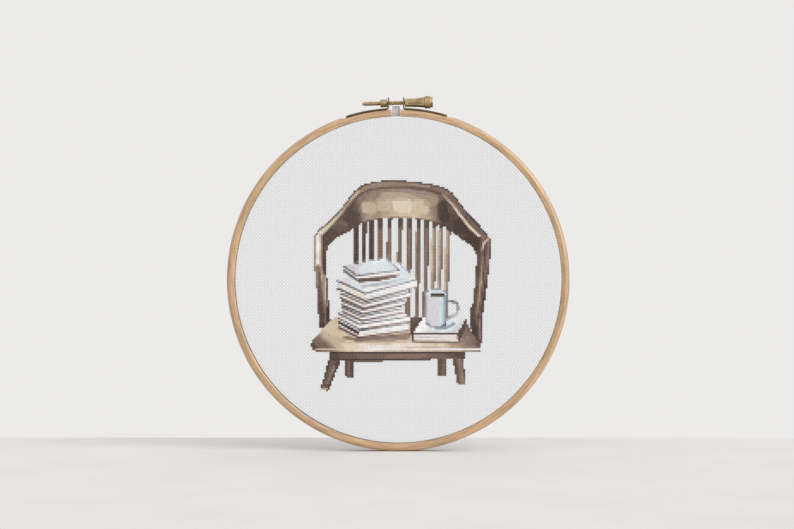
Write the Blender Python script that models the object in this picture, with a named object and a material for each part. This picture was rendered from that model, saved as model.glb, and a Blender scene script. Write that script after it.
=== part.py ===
"""A round wooden embroidery hoop with a brass clamp screw and a finished, stitched fabric.

The hoop stands on its rim, facing -Y. +X is to the right and +Z is up, in metres. The origin is
the lowest point of the rim, half way through its depth. Angles round the hoop are in degrees,
clockwise from the top as seen from the front.
"""

import math

import bmesh
import bpy
from mathutils import Matrix, Vector

# Hoop, an eight-inch one
HOOP_RADIUS = 0.106
OUTER_THICKNESS = 0.005
OUTER_DEPTH = 0.010
INNER_THICKNESS = 0.004
GAP = 0.0003  # clearance between touching pieces
RING_STEP = 5.0  # degrees for each flat of the rings

# Outer ring's ends, let in under the brackets
RIGHT_END = 0.75
LEFT_END = -2.2
SPLIT = 184.0  # where the two halves of the springy ring meet
RELIEF = 0.0008
RELIEF_RAMP = 2.0

# Depths through the hoop, from the front (-Y) to the back
FABRIC_FRONT = -0.0045
FABRIC_THICKNESS = 0.0006
INNER_FRONT = -0.0036
INNER_BACK = 0.0032
MARGIN_BACK = INNER_BACK + GAP + FABRIC_THICKNESS
MARGIN_EDGE_RADIUS = 0.0865
PINCH_X = -0.0013  # the cloth pinched up between the outer ring's ends
PINCH_HALF_WIDTH = 0.0023
PINCH_HALF_DEPTH = 0.0034
THREAD_RADIUS = 0.0882
THREAD_THICKNESS = 0.0005

# Clamp screw: its axis rises a little towards the knob
AXIS_X = -0.0009
AXIS_Z = 0.2155
AXIS_TILT = 1.5
SCREW_RADIUS = 0.00136
SCREW_TIP_X = -0.0224
SCREW_END_X = 0.0140
KNOB_START_X = 0.0041
KNOB_END_X = 0.0214
SHAFT_CLEARANCE = 0.0003
NUT_LENGTH = 0.0043
NUT_ACROSS_CORNERS = 0.0053

# Brackets: brass straps turned up into ears
STRAP_THICKNESS = 0.0008
STRAP_WIDTH = 0.008
EAR_LEFT_X = -0.0060
EAR_RIGHT_X = 0.0034
EAR_ABOVE_AXIS = 0.0037
STRAP_LEFT_END = -17.8
STRAP_RIGHT_END = 16.6
BRAD_SHANK_RADIUS = 0.0005
BRAD_LENGTH = 0.0028
BRAD_HOLE_RADIUS = 0.0008
BRAD_ANGLES = {"left": (-10.6, -16.0), "right": (13.0, 15.6)}

# Stitches stand this far in front of the fabric
STITCH_THICKNESS = 0.0004

CENTRE = Vector((0, 0, HOOP_RADIUS))
OUTER_INSIDE = HOOP_RADIUS - OUTER_THICKNESS
FABRIC_RADIUS = OUTER_INSIDE - GAP
INNER_RADIUS = FABRIC_RADIUS - FABRIC_THICKNESS - GAP


def clear_scene():
    for obj in list(bpy.data.objects):
        bpy.data.objects.remove(obj)


def make_material(name, colour, roughness, metallic=0.0):
    made = bpy.data.materials.new(name)
    made.use_nodes = True
    shader = made.node_tree.nodes["Principled BSDF"]
    shader.inputs["Base Color"].default_value = (*colour, 1)
    shader.inputs["Roughness"].default_value = roughness
    shader.inputs["Metallic"].default_value = metallic
    return made


def finish_object(name, bm, finish):
    bmesh.ops.recalc_face_normals(bm, faces=bm.faces)
    mesh = bpy.data.meshes.new(name)
    bm.to_mesh(mesh)
    bm.free()
    mesh.shade_smooth()
    mesh.set_sharp_from_angle(angle=math.radians(35))
    if finish:
        mesh.materials.append(finish)
    obj = bpy.data.objects.new(name, mesh)
    bpy.context.scene.collection.objects.link(obj)
    return obj


def make_helper(obj):
    """A cutter or a guide: it shapes another object and is no piece itself."""
    obj.hide_render = True
    obj.display_type = "WIRE"
    return obj


def combine(obj, other, operation="DIFFERENCE"):
    boolean = obj.modifiers.new(operation.lower(), "BOOLEAN")
    boolean.operation = operation
    boolean.solver = "EXACT"
    boolean.object = other


def on_hoop(angle, radius, y):
    turn = math.radians(angle)
    return Vector((radius * math.sin(turn), y, HOOP_RADIUS + radius * math.cos(turn)))


def loft(name, loops, finish, closed=False):
    """Joins point loops of one length with quads, and fills the two ends unless it is closed."""
    bm = bmesh.new()
    rings = [[bm.verts.new(point) for point in loop] for loop in loops]
    pairs = list(zip(rings, rings[1:]))
    if closed:
        pairs.append((rings[-1], rings[0]))
    count = len(rings[0])
    for one, two in pairs:
        for i in range(count):
            j = (i + 1) % count
            bm.faces.new((one[i], one[j], two[j], two[i]))
    if not closed:
        bm.faces.new(rings[0])
        bm.faces.new(rings[-1])
    return finish_object(name, bm, finish)


def lathe(name, profile, finish, steps=24):
    """Turns a closed (x, radius) outline about X. Points on the axis become one."""
    bm = bmesh.new()
    verts = [bm.verts.new((x, radius, 0)) for x, radius in profile]
    edges = [bm.edges.new(pair) for pair in zip(verts, verts[1:] + verts[:1])]
    bmesh.ops.spin(
        bm, geom=verts + edges, cent=(0, 0, 0), axis=(1, 0, 0), dvec=(0, 0, 0),
        angle=math.tau, steps=steps, use_merge=True, use_duplicate=False,
    )
    bmesh.ops.remove_doubles(bm, verts=bm.verts, dist=1e-6)
    return finish_object(name, bm, finish)


def prism(name, outline, front, back, finish):
    """A flat outline of (x, height above the hoop's centre) with thickness along Y."""
    bm = bmesh.new()
    face = bm.faces.new([bm.verts.new((x, front, HOOP_RADIUS + z)) for x, z in outline])
    made = bmesh.ops.extrude_face_region(bm, geom=[face])
    moved = [item for item in made["geom"] if isinstance(item, bmesh.types.BMVert)]
    bmesh.ops.translate(bm, verts=moved, vec=(0, back - front, 0))
    return finish_object(name, bm, finish)


def arc(centre, radius, start, end, steps):
    """Points round part of a circle, from the start angle to the end angle in degrees."""
    turns = [math.radians(start + (end - start) * i / steps) for i in range(steps + 1)]
    return [(centre[0] + radius * math.cos(t), centre[1] + radius * math.sin(t)) for t in turns]


def rounded_section(inside, outside, front, back, front_corner, back_corner):
    """(radius, y) points of a strip's section, with round corners in front and small ones behind."""
    points = arc((inside + front_corner, front + front_corner), front_corner, 180, 270, 3)
    points += arc((outside - front_corner, front + front_corner), front_corner, 270, 360, 3)
    points += arc((outside - back_corner, back - back_corner), back_corner, 0, 90, 1)
    points += arc((inside + back_corner, back - back_corner), back_corner, 90, 180, 1)
    return points


def wood_radius(angle):
    """The outer ring's outside, lower where a bracket is let in."""
    past_end = max(angle - STRAP_RIGHT_END, STRAP_LEFT_END - angle)
    share = min(1, max(0, past_end / RELIEF_RAMP))
    return HOOP_RADIUS - RELIEF * (1 - share)


def outer_section(angle):
    nearest = angle if angle <= 180 else angle - 360
    section = rounded_section(
        OUTER_INSIDE, wood_radius(nearest), -OUTER_DEPTH / 2, OUTER_DEPTH / 2, 0.0017, 0.0007
    )
    return [on_hoop(angle, radius, y) for radius, y in section]


def ring_angles(start, end):
    """The ends, every whole step between them, and the ramps beside the brackets."""
    stops = {start, end}
    stops |= {RING_STEP * i for i in range(1, 72) if start < RING_STEP * i < end}
    for stop in (STRAP_RIGHT_END, STRAP_LEFT_END + 360):
        side = 1 if stop < 180 else -1
        stops |= {a for a in (stop, stop + side * RELIEF_RAMP) if start < a < end}
    return sorted(stops)


def make_outer_ring(wood, cutters):
    half_gap = math.degrees(GAP / 2 / (HOOP_RADIUS - OUTER_THICKNESS / 2))
    spans = {
        "outer_ring_right": (RIGHT_END, SPLIT - half_gap),
        "outer_ring_left": (SPLIT + half_gap, 360 + LEFT_END),
    }
    for name, (start, end) in spans.items():
        ring = loft(name, [outer_section(a) for a in ring_angles(start, end)], wood)
        for cutter in cutters[name.rsplit("_", 1)[1]]:
            combine(ring, cutter)


def make_inner_ring(wood):
    section = rounded_section(
        INNER_RADIUS - INNER_THICKNESS, INNER_RADIUS, INNER_FRONT, INNER_BACK, 0.0010, 0.0006
    )
    turns = [RING_STEP * i for i in range(72)]
    loft("inner_ring", [[on_hoop(a, r, y) for r, y in section] for a in turns], wood, closed=True)


def make_fabric(cloth):
    """A panel over the inner ring's front, down its outside and gathered in behind it."""
    outside, inside = FABRIC_RADIUS, FABRIC_RADIUS - FABRIC_THICKNESS
    panel_back = FABRIC_FRONT + FABRIC_THICKNESS
    margin_front = MARGIN_BACK - FABRIC_THICKNESS
    bend = FABRIC_THICKNESS
    profile = [
        (FABRIC_FRONT, 0), (FABRIC_FRONT, outside - bend), (FABRIC_FRONT + bend, outside),
        (MARGIN_BACK - bend, outside), (MARGIN_BACK, outside - bend),
        (MARGIN_BACK, MARGIN_EDGE_RADIUS), (margin_front, MARGIN_EDGE_RADIUS),
        (margin_front, inside), (panel_back, inside), (panel_back, 0),
    ]
    fabric = lathe("fabric", profile, cloth, steps=72)
    # The lathe turns about X, and the hoop's own axis is Y.
    fabric.data.transform(Matrix.Translation(CENTRE) @ Matrix.Rotation(math.radians(90), 4, "Z"))

    # The cloth pinched up between the outer ring's two ends
    side, top = PINCH_HALF_WIDTH, AXIS_Z - SCREW_RADIUS - 0.0005 - HOOP_RADIUS
    bottom = FABRIC_RADIUS - FABRIC_THICKNESS * 0.6
    outline = [(side, bottom), *arc((side - 0.0012, top - 0.0012), 0.0012, 0, 90, 3)]
    outline += [*arc((-side + 0.0012, top - 0.0012), 0.0012, 90, 180, 3), (-side, bottom)]
    pinch = make_helper(prism("pinch", outline, -PINCH_HALF_DEPTH, PINCH_HALF_DEPTH, None))
    pinch.location.x = PINCH_X
    combine(fabric, pinch, "UNION")


def make_gathering_thread(thread):
    small = THREAD_THICKNESS / 2
    y = MARGIN_BACK + GAP + small
    section = arc((THREAD_RADIUS, y), small, 0, 300, 5)
    turns = [RING_STEP * i for i in range(72)]
    loops = [[on_hoop(a, r, depth) for r, depth in section] for a in turns]
    loft("gathering_thread", loops, thread, closed=True)


def make_brads(brass):
    """Small brass nails through the straps, and the cutters for their holes."""
    length = BRAD_LENGTH
    head, shank = 0.0010, BRAD_SHANK_RADIUS
    profile = [
        (0.0003, 0), (0.00022, head * 0.7), (0, head), (-0.00015, head), (-0.00015, shank),
        (0.0005 - length, shank), (-length, 0),
    ]
    cutters = {}
    for side, angles in BRAD_ANGLES.items():
        cutters[side] = []
        for number, angle in enumerate(angles, 1):
            name = f"brad_{side}_{number}"
            strap_top = wood_radius(angle) + GAP + STRAP_THICKNESS
            placed = Matrix.Rotation(math.radians(angle - 90), 4, "Y")
            brad = lathe(name, profile, brass, steps=12)
            brad.matrix_world = Matrix.Translation(on_hoop(angle, strap_top + 0.00045, 0)) @ placed
            hole = [(0.002, 0), (0.002, BRAD_HOLE_RADIUS), (-0.0034, BRAD_HOLE_RADIUS), (-0.0034, 0)]
            cutter = make_helper(lathe(f"{name}_hole", hole, None, steps=12))
            cutter.matrix_world = Matrix.Translation(on_hoop(angle, strap_top, 0)) @ placed
            cutters[side].append(cutter)
    return cutters


def axis_frame():
    """Places a piece that was made along X onto the clamp screw's axis."""
    tilt = Matrix.Rotation(-math.radians(AXIS_TILT), 4, "Y")
    return Matrix.Translation((AXIS_X, 0, AXIS_Z)) @ tilt


def axis_height(x):
    return AXIS_Z + (x - AXIS_X) * math.tan(math.radians(AXIS_TILT))


def make_bracket(name, ear_x, strap_end, bend_radius, brass, cutters):
    """A strap laid on the ring, turned up into an ear with a round top and a hole for the screw."""
    side = 1 if ear_x > AXIS_X else -1
    half = STRAP_THICKNESS / 2
    hole_z = axis_height(ear_x)
    stations = []  # x, z, the direction across the strap, and half its width

    def radius_at(angle):
        return wood_radius(angle) + GAP + half

    bend_x = ear_x + side * bend_radius
    start = math.degrees(math.asin(bend_x / radius_at(0)))
    steps = 8
    for i in range(steps + 1):
        angle = strap_end + (start - strap_end) * i / steps
        point = on_hoop(angle, radius_at(angle), 0)
        across = Vector((math.sin(math.radians(angle)), 0, math.cos(math.radians(angle))))
        width = STRAP_WIDTH / 2 - (0.0006 if i == 0 else 0)
        stations.append((point, across, width))
    foot = stations[-1][0]
    centre = Vector((foot.x, 0, foot.z + bend_radius))
    for i in range(1, 6):
        turn = math.radians(90 * i / 5)
        across = Vector((side * math.sin(turn), 0, math.cos(turn)))
        # `across` points to the bend's centre, and the strap lies on its far side
        stations.append((centre - bend_radius * across, across, STRAP_WIDTH / 2))
    top = hole_z + EAR_ABOVE_AXIS
    ear_centre = top - STRAP_WIDTH / 2
    for i in range(6):
        turn = math.radians(80 * i / 5)
        point = Vector((ear_x, 0, ear_centre + STRAP_WIDTH / 2 * math.sin(turn)))
        across = Vector((side, 0, 0))
        stations.append((point, across, STRAP_WIDTH / 2 * math.cos(turn)))
    loops = []
    for point, across, width in stations:
        out, wide = across * half, Vector((0, width, 0))
        loops.append([point - out - wide, point - out + wide, point + out + wide, point + out - wide])
    bracket = loft(name, loops, brass)
    for cutter in cutters:
        combine(bracket, cutter)
    reach, hole = 0.002, SCREW_RADIUS + SHAFT_CLEARANCE
    profile = [(-reach, 0), (-reach, hole), (reach, hole), (reach, 0)]
    ear_hole = make_helper(lathe(f"{name}_hole", profile, None))
    ear_hole.location = (ear_x, 0, hole_z)
    combine(bracket, ear_hole)


def make_screw(brass):
    tip = SCREW_TIP_X - AXIS_X
    profile = [
        (tip, 0), (tip, 0.0004), (tip + 0.0016, SCREW_RADIUS),
        (SCREW_END_X - AXIS_X, SCREW_RADIUS), (SCREW_END_X - AXIS_X, 0),
    ]
    lathe("clamp_screw", profile, brass).matrix_world = axis_frame()


def make_knob(brass):
    """A tapered barrel with a collar and a slotted end, bored to take the screw's plain end."""
    start, end = KNOB_START_X - AXIS_X, KNOB_END_X - AXIS_X
    collar_start, collar_end = end - 0.0050, end - 0.0016
    bore, bore_end = SCREW_RADIUS + SHAFT_CLEARANCE, SCREW_END_X - AXIS_X + GAP
    profile = [
        (start, bore), (start, 0.0023), (start + 0.0003, 0.0025), (start + 0.006, 0.00265),
        (start + 0.0095, 0.0029), (collar_start, 0.0033), (collar_start, 0.0036),
        (collar_start + 0.0003, 0.00385), (collar_end - 0.0003, 0.00385), (collar_end, 0.0036),
        (collar_end, 0.0033), (end - 0.0003, 0.0033), (end, 0.0030),
        (end, 0), (bore_end, 0), (bore_end, bore),
    ]
    knob = lathe("screw_knob", profile, brass)
    knob.matrix_world = axis_frame()
    bm = bmesh.new()
    bmesh.ops.create_cube(bm, size=1)
    bmesh.ops.scale(bm, vec=(0.003, 0.010, 0.0011), verts=bm.verts)
    slot = make_helper(finish_object("knob_slot", bm, None))
    slot.matrix_world = axis_frame() @ Matrix.Translation((end, 0, 0))
    slot.matrix_world = slot.matrix_world @ Matrix.Rotation(math.radians(25), 4, "X")
    combine(knob, slot)


def make_nut(brass):
    """A hexagon nut against the left ear, one flat to the front."""
    right = EAR_LEFT_X - STRAP_THICKNESS / 2 - GAP - AXIS_X
    left = right - NUT_LENGTH
    profile = [(left, 0), (left, NUT_ACROSS_CORNERS / 2), (right, NUT_ACROSS_CORNERS / 2), (right, 0)]
    nut = lathe("clamp_nut", profile, brass, steps=6)
    nut.data.transform(Matrix.Rotation(math.radians(90), 4, "X"))
    nut.matrix_world = axis_frame()
    hole = SCREW_RADIUS + SHAFT_CLEARANCE
    profile = [(left - 0.001, 0), (left - 0.001, hole), (right + 0.001, hole), (right + 0.001, 0)]
    cutter = make_helper(lathe("nut_bore", profile, None))
    cutter.matrix_world = axis_frame()
    combine(nut, cutter)


def millimetres(*points):
    return [(x / 1000, z / 1000) for x, z in points]


def grown(outline, by):
    """A convex outline with each corner moved out from its middle, to clear a neighbour."""
    middle = Vector((sum(x for x, _ in outline), sum(z for _, z in outline))) / len(outline)
    made = []
    for x, z in outline:
        out = (Vector((x, z)) - middle).normalized() * by
        made.append((x + out.x, z + out.y))
    return made


def make_picture(flosses):
    """The stitched picture as thin raised areas: an armchair, a stack of books, a book and a mug."""
    back = FABRIC_FRONT - GAP
    front = back - STITCH_THICKNESS

    def raised(name, outline, floss):
        return prism(name, outline, front, back, floss)

    books = millimetres((-38, -3), (-33, 11), (-6, 14), (12, 1), (7, -35), (-25, -37), (-37, -27))
    lone_book = millimetres((10, -38), (9, -34), (17, -24), (42, -24), (42, -29), (36, -39))
    mug = millimetres((17, -23.6), (16, -7), (19, -5.5), (28, -5.5), (38, -12), (34, -23.6))
    raised("stitched_book_stack", books, flosses["books"])
    raised("stitched_mug", mug, flosses["mug"])
    clear_book = [(x, z - GAP) for x, z in lone_book]
    raised("stitched_book", clear_book, flosses["books"])

    crest = arc((0.003, -0.115), 0.176, 80, 102, 6)
    crest += arc((0.0, -0.085), 0.122, 108, 72, 6)
    left_shoulder = millimetres((-38, 31), (-43.5, 24), (-43.5, 12), (-51.5, 12), (-51.5, 28), (-33, 57))
    right_shoulder = millimetres((38, 31), (48, 21), (48, 12), (56, 12), (56.5, 24), (51, 33))
    chair = raised("stitched_chair", crest, flosses["wood"])
    parts = {
        "left_rail": left_shoulder + millimetres((-28, 59), (-28, 32)),
        "right_rail": right_shoulder + millimetres((45, 45), (40, 57), (28, 60), (28, 32)),
        "left_post": millimetres((-51.5, 13), (-43.5, 13), (-42, -26), (-49, -32)),
        "right_post": millimetres((48, 13), (56, 13), (51, -42), (43.5, -37)),
        "seat": millimetres((-54.5, -41), (-52, -46), (50.5, -46), (50.5, -41), (41, -26), (-38, -24)),
        "apron": millimetres((-43, -45), (41, -45), (41, -50), (-43, -50)),
    }
    legs = {"a": (-41, -46, -68), "b": (-31, -31, -60), "c": (26, 25, -59), "d": (34, 39, -64)}
    for name, (top, bottom, foot) in legs.items():
        parts[f"leg_{name}"] = millimetres((top - 3, -49), (top + 3, -49), (bottom + 2, foot), (bottom - 2, foot))
    for i in range(12):
        x = -26.5 + 5.2 * i
        parts[f"spindle_{i}"] = millimetres((x - 1.2, 40), (x + 1.2, 40), (x + 0.2, -27), (x - 2.2, -27))
    for name, outline in parts.items():
        combine(chair, make_helper(prism(name, outline, front, back, None)), "UNION")
    for name, outline in {"books": books, "lone_book": clear_book, "mug": mug}.items():
        cutter = prism(f"around_{name}", grown(outline, 2 * GAP), front - 0.001, back + 0.001, None)
        combine(chair, make_helper(cutter))


def main():
    clear_scene()
    beech = make_material("beech", (0.62, 0.41, 0.24), 0.55)
    brass = make_material("antique_brass", (0.45, 0.36, 0.19), 0.4, 1.0)
    cloth = make_material("evenweave", (0.76, 0.76, 0.76), 0.9)
    thread = make_material("cotton_thread", (0.7, 0.7, 0.68), 0.9)
    flosses = {
        "wood": make_material("brown_floss", (0.2, 0.13, 0.1), 0.8),
        "books": make_material("pale_floss", (0.7, 0.76, 0.8), 0.8),
        "mug": make_material("grey_floss", (0.5, 0.52, 0.58), 0.8),
    }
    cutters = make_brads(brass)
    make_outer_ring(beech, cutters)
    make_inner_ring(beech)
    make_fabric(cloth)
    make_gathering_thread(thread)
    make_bracket("bracket_left", EAR_LEFT_X, STRAP_LEFT_END, 0.0019, brass, cutters["left"])
    make_bracket("bracket_right", EAR_RIGHT_X, STRAP_RIGHT_END, 0.0013, brass, cutters["right"])
    make_screw(brass)
    make_knob(brass)
    make_nut(brass)
    make_picture(flosses)


main()
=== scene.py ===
import math

import bmesh
import bpy
import numpy as np
from mathutils import Matrix, Vector


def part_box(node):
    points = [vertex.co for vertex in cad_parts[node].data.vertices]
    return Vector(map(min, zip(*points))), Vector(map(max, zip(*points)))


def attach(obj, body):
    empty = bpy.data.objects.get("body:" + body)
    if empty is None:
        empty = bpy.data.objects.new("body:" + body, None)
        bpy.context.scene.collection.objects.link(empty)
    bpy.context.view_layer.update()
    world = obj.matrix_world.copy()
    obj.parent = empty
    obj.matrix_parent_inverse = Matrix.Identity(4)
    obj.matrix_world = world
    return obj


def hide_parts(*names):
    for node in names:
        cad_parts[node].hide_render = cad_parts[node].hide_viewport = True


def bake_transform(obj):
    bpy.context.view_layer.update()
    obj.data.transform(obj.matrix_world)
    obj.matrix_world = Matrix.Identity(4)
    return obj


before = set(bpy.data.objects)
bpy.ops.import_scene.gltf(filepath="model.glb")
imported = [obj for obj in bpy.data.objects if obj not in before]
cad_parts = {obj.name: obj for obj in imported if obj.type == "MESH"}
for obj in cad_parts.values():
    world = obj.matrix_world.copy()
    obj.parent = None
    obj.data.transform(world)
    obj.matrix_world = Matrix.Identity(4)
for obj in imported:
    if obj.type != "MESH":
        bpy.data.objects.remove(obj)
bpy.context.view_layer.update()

mm = 0.001

# Sizes that every piece shares, read from the frame
outerLow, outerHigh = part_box("outer_ring_right")
innerLow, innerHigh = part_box("inner_ring")
clothLow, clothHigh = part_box("fabric")
hoopRadius = outerHigh[0]
ringFront, ringBack = outerLow[1], outerHigh[1]
clothRadius = clothHigh[0]
clothFront = clothLow[1]
clearance = 0.3 * mm  # between the cloth and the outer ring
ringThickness = hoopRadius - clothRadius - clearance


# Helpers

def shownColour(code):
    # An sRGB hex code as three display values from 0 to 1
    return [int(code[i:i + 2], 16) / 255 for i in (1, 3, 5)]


def hexColour(code):
    # sRGB hex to the linear values that the shaders mix
    shown = shownColour(code)
    return (*[c / 12.92 if c <= 0.04045 else ((c + 0.055) / 1.055) ** 2.4 for c in shown], 1)


def addNode(tree, kind, links=None, stops=None, **settings):
    # One node with its settings, its sockets' values or links, and a ramp's stops
    node = tree.nodes.new("ShaderNode" + kind)
    for name, value in settings.items():
        setattr(node, name, value)
    for socket, value in (links or {}).items():
        if isinstance(value, bpy.types.Node):
            value = value.outputs[0]
        if isinstance(value, bpy.types.NodeSocket):
            tree.links.new(value, node.inputs[socket])
        else:
            node.inputs[socket].default_value = value
    for number, (place, colour) in enumerate(stops or ()):
        ramp = node.color_ramp.elements
        stop = ramp[number] if number < len(ramp) else ramp.new(place)
        stop.position = place
        stop.color = hexColour(colour)
    return node


def newMaterial(name, **surface):
    # A material, its node tree and its shader with the values that are the same all over
    made = bpy.data.materials.new(name)
    made.use_nodes = True
    shader = made.node_tree.nodes["Principled BSDF"]
    for socket, value in surface.items():
        shader.inputs[socket.replace("_", " ")].default_value = value
    return made, made.node_tree, shader


def onHoop(angle, radius, y):
    # Degrees clockwise from the top, as seen from the front
    turn = math.radians(angle)
    return (radius * math.sin(turn), y, hoopRadius + radius * math.cos(turn))


def addObject(name, data):
    made = bpy.data.objects.new(name, data)
    bpy.context.scene.collection.objects.link(made)
    return made


def newPiece(name, vertices, faces, material, body, replaced=(), attributes=None, smooth=40):
    # A mesh object with its facts for the frame; edges steeper than smooth degrees stay sharp
    mesh = bpy.data.meshes.new(name)
    mesh.from_pydata([tuple(v) for v in vertices], [], [tuple(f) for f in faces])
    for label, values in (attributes or {}).items():
        made = mesh.attributes.new(label, "FLOAT_VECTOR", "POINT")
        made.data.foreach_set("vector", np.asarray(values, np.float32).ravel())
    bm = bmesh.new()
    bm.from_mesh(mesh)
    bmesh.ops.recalc_face_normals(bm, faces=bm.faces)
    bm.to_mesh(mesh)
    bm.free()
    mesh.materials.append(material)
    mesh.shade_smooth()
    mesh.set_sharp_from_angle(angle=math.radians(smooth))
    obj = addObject(name, mesh)
    if body:
        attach(obj, body)
    if replaced:
        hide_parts(*replaced)
    return obj


def cutOut(piece, name, tool, place):
    # Takes a tool's shape out of a piece; the tool goes once the modifier is applied
    mesh = bpy.data.meshes.new(name)
    tool.to_mesh(mesh)
    tool.free()
    cutter = addObject(name, mesh)
    cutter.matrix_world = place
    cut = piece.modifiers.new(name, "BOOLEAN")
    cut.object, cut.operation, cut.solver = cutter, "DIFFERENCE", "EXACT"
    return cutter


def applyModifiers(obj):
    bpy.context.view_layer.update()
    graph = bpy.context.evaluated_depsgraph_get()
    made = bpy.data.meshes.new_from_object(obj.evaluated_get(graph))
    obj.modifiers.clear()
    old, obj.data = obj.data, made
    made.name = obj.name
    bpy.data.meshes.remove(old)


def gridFaces(rows, columns, closedRows=False, closedColumns=False):
    # Quads over a grid of rows x columns vertices, numbered row by row
    faces = []
    for i in range(rows if closedRows else rows - 1):
        for j in range(columns if closedColumns else columns - 1):
            k, n = (i + 1) % rows, (j + 1) % columns
            faces.append((i * columns + j, i * columns + n, k * columns + n, k * columns + j))
    return faces


def capFaces(columns, vertices):
    # The two end faces of a grid of closed loops
    return [tuple(range(columns)), tuple(range(len(vertices) - columns, len(vertices)))]


def arcPoints(centre, radius, start, end, steps):
    turns = np.radians(np.linspace(start, end, steps + 1))
    return [(centre[0] + radius * math.cos(t), centre[1] + radius * math.sin(t)) for t in turns]


# Beech: bent with steam, sanded and waxed

beech = {
    "dark": "#AC8A65", "body": "#C5A075", "light": "#D4AE82", "ray": "#A08160",
    # Lengths along the strip, then widths across it both ways
    "figureMm": (13, 0.9, 1.3),
    "rayMm": (2.4, 0.3, 0.4),  # too fine to show, so drawn about twice as wide as it is
    "patchMm": (45, 10, 10),
    "figureStops": (0.36, 0.5, 0.64), "rayRange": (0.55, 0.68), "rayShare": 0.5,
    "tone": (0.9, 1.08),
    "roughness": (0.36, 0.48), "specular": 0.8, "wax": 1.0, "waxRoughness": 0.34,
    "bump": 0.2, "bumpMm": 0.1,
}


def steamedBeech():
    # Pale tan with soft long bands and short darker rays; its wax gives a broad white sheen
    made, tree, shader = newMaterial(
        "steamed_beech", IOR=1.5, Specular_IOR_Level=beech["specular"],
        Coat_Weight=beech["wax"], Coat_Roughness=beech["waxRoughness"], Coat_IOR=1.5)
    place = addNode(tree, "Attribute", attribute_name="grainPlace").outputs["Vector"]
    noises = []
    for size, detail in (("figureMm", 3.0), ("rayMm", 2.0), ("patchMm", 2.0)):
        perMetre = [1000 / length for length in beech[size]]
        grain = addNode(tree, "VectorMath", {0: place, 1: perMetre}, operation="MULTIPLY")
        noise = addNode(tree, "TexNoise", {"Vector": grain, "Scale": 1.0, "Detail": detail})
        noises.append(noise.outputs["Fac"])
    figure, rays, patches = noises
    tones = [beech[name] for name in ("dark", "body", "light")]
    wood = addNode(tree, "ValToRGB", {"Fac": figure}, stops=zip(beech["figureStops"], tones))
    low, high = beech["rayRange"]
    rayMask = addNode(tree, "MapRange", {
        "Value": rays, "From Min": low, "From Max": high, "To Max": beech["rayShare"],
    })
    rayed = addNode(tree, "Mix", {
        0: rayMask, 6: wood, 7: hexColour(beech["ray"]),
    }, data_type="RGBA")
    low, high = beech["tone"]
    tone = addNode(tree, "MapRange", {
        "Value": patches, "From Min": 0.3, "From Max": 0.7, "To Min": low, "To Max": high,
    })
    toned = addNode(tree, "VectorMath", {0: rayed.outputs[2], 3: tone}, operation="SCALE")
    tree.links.new(toned.outputs[0], shader.inputs["Base Color"])
    low, high = beech["roughness"]
    rough = addNode(tree, "MapRange", {"Value": rays, "To Min": low, "To Max": high})
    tree.links.new(rough.outputs[0], shader.inputs["Roughness"])
    bump = addNode(tree, "Bump", {
        "Height": rays, "Strength": beech["bump"], "Distance": beech["bumpMm"] * mm,
    })
    tree.links.new(bump.outputs[0], shader.inputs["Normal"])
    return made


# Brass: turned or rolled, with a dull antique finish

brass = {
    # Tarnished, dull and bright metal
    "turned": ("#A0855A", "#BAA17A", "#CDB792"), "turnedRoughness": (0.28, 0.44),
    # The rolled strip is coloured darker than the turned brass: partly its own colour, partly
    # painted shade on the straps and ears
    "rolled": ("#6E6248", "#82765A", "#938664"), "rolledRoughness": (0.38, 0.5),
    "patchMm": 4.5, "patchStops": (0.3, 0.46, 0.66),
    "scratchMm": 0.25,  # real scratches are too fine to show, so these are coarser
    "bump": 0.12, "bumpMm": 0.03,
}


def antiqueBrass(name, colours, roughness):
    # Olive metal, brighter where it is handled and brown where tarnish stays
    made, tree, shader = newMaterial(name, Metallic=1.0)
    place = addNode(tree, "TexCoord").outputs["Object"]
    patches = addNode(tree, "TexNoise", {
        "Vector": place, "Scale": 1000 / brass["patchMm"], "Detail": 4.0,
    }).outputs["Fac"]
    metal = addNode(tree, "ValToRGB", {"Fac": patches}, stops=zip(brass["patchStops"], colours))
    tree.links.new(metal.outputs[0], shader.inputs["Base Color"])
    worn = addNode(tree, "MapRange", {
        "Value": patches, "From Min": 0.3, "From Max": 0.7,
        "To Min": roughness[1], "To Max": roughness[0],
    })
    tree.links.new(worn.outputs[0], shader.inputs["Roughness"])
    scratches = addNode(tree, "TexNoise", {
        "Vector": place, "Scale": 1000 / brass["scratchMm"], "Detail": 2.0,
    }).outputs["Fac"]
    bump = addNode(tree, "Bump", {
        "Height": scratches, "Strength": brass["bump"], "Distance": brass["bumpMm"] * mm,
    })
    tree.links.new(bump.outputs[0], shader.inputs["Normal"])
    return made


# Cotton: evenweave cloth, thread and stranded floss

cloth = {
    "threadMm": 1.06,  # 24 threads to the inch
    # The weft and hole colours are darker than the warp: painted shade on the level threads and in
    # the gaps
    "warp": "#F2F4F7", "shadedWeft": "#D7DADD", "hole": "#C2C3C7",
    "roughness": 0.92, "bump": 0.5, "bumpMm": 0.12,
    "thicknessMm": 0.35,
}


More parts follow.
